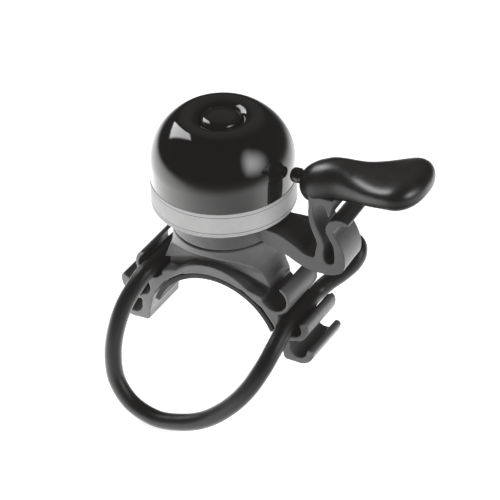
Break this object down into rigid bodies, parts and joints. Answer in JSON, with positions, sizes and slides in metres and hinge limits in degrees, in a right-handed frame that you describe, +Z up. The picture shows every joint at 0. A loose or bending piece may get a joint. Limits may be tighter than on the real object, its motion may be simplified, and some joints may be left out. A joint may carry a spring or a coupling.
{
  "type": "bicycle bell",
  "caption": "Handlebar bell with a domed gong, a sprung thumb-lever striker that swivels under it, and a padded saddle held to the bar by a rubber ring.",
  "frame": {"origin": "on the handlebar's axis, under the middle of the saddle and on the bell's axis", "axes": "+Z up along the bell's axis, +X towards the thumb lever, Y along the handlebar"},
  "size_m": [0.0763, 0.0463, 0.0753],
  "materials": {
    "dome_paint": "gloss black paint",
    "band_foil": "satin silver-grey foil",
    "bolt_black": "gloss black",
    "soft_rubber": "matt",
    "pillar_metal": "turned",
    "spring_steel": "zinc plated",
    "moulded_nylon": "satin charcoal, glass-filled",
    "grip_plastic": "semi-gloss black, lightly scuffed",
    "pin_black": "gloss black",
    "washer_black": "matt",
    "pad_rubber": "matt grey",
    "ring_rubber": "satin black"
  },
  "bodies": {
    "saddle": {"saddle_bracket": "moulded_nylon", "saddle_pad": "pad_rubber", "rubber_ring": "ring_rubber", "swivel_washer": "washer_black", "dome_pillar": "pillar_metal", "disc_spring": "spring_steel", "dome_damper": "soft_rubber", "bell_dome": "dome_paint", "rim_band": "band_foil", "head_gasket": "soft_rubber", "centre_bolt": "bolt_black", "nut_washer": "spring_steel", "lock_washer": "spring_steel", "lock_nut": "spring_steel"},
    "striker_head": {"striker_base": "moulded_nylon"},
    "thumb_lever": {"lever_blade": "moulded_nylon", "thumb_grip": "grip_plastic", "striker_pin": "pin_black"}
  },
  "joints": [
    {"name": "head_swivel", "type": "hinge", "parent": "saddle", "child": "striker_head", "pos_m": [0, 0, 0.03065], "axis": [0, 0, 1], "continuous": true},
    {"name": "lever_flex", "type": "hinge", "parent": "striker_head", "child": "thumb_lever", "pos_m": [0.02561, 0.00134, 0.0298], "axis": [-0.0523, 0.9986, 0], "range_deg": [-1.9, 6.5], "stiffness_Nm_per_rad": 0.6}
  ]
}
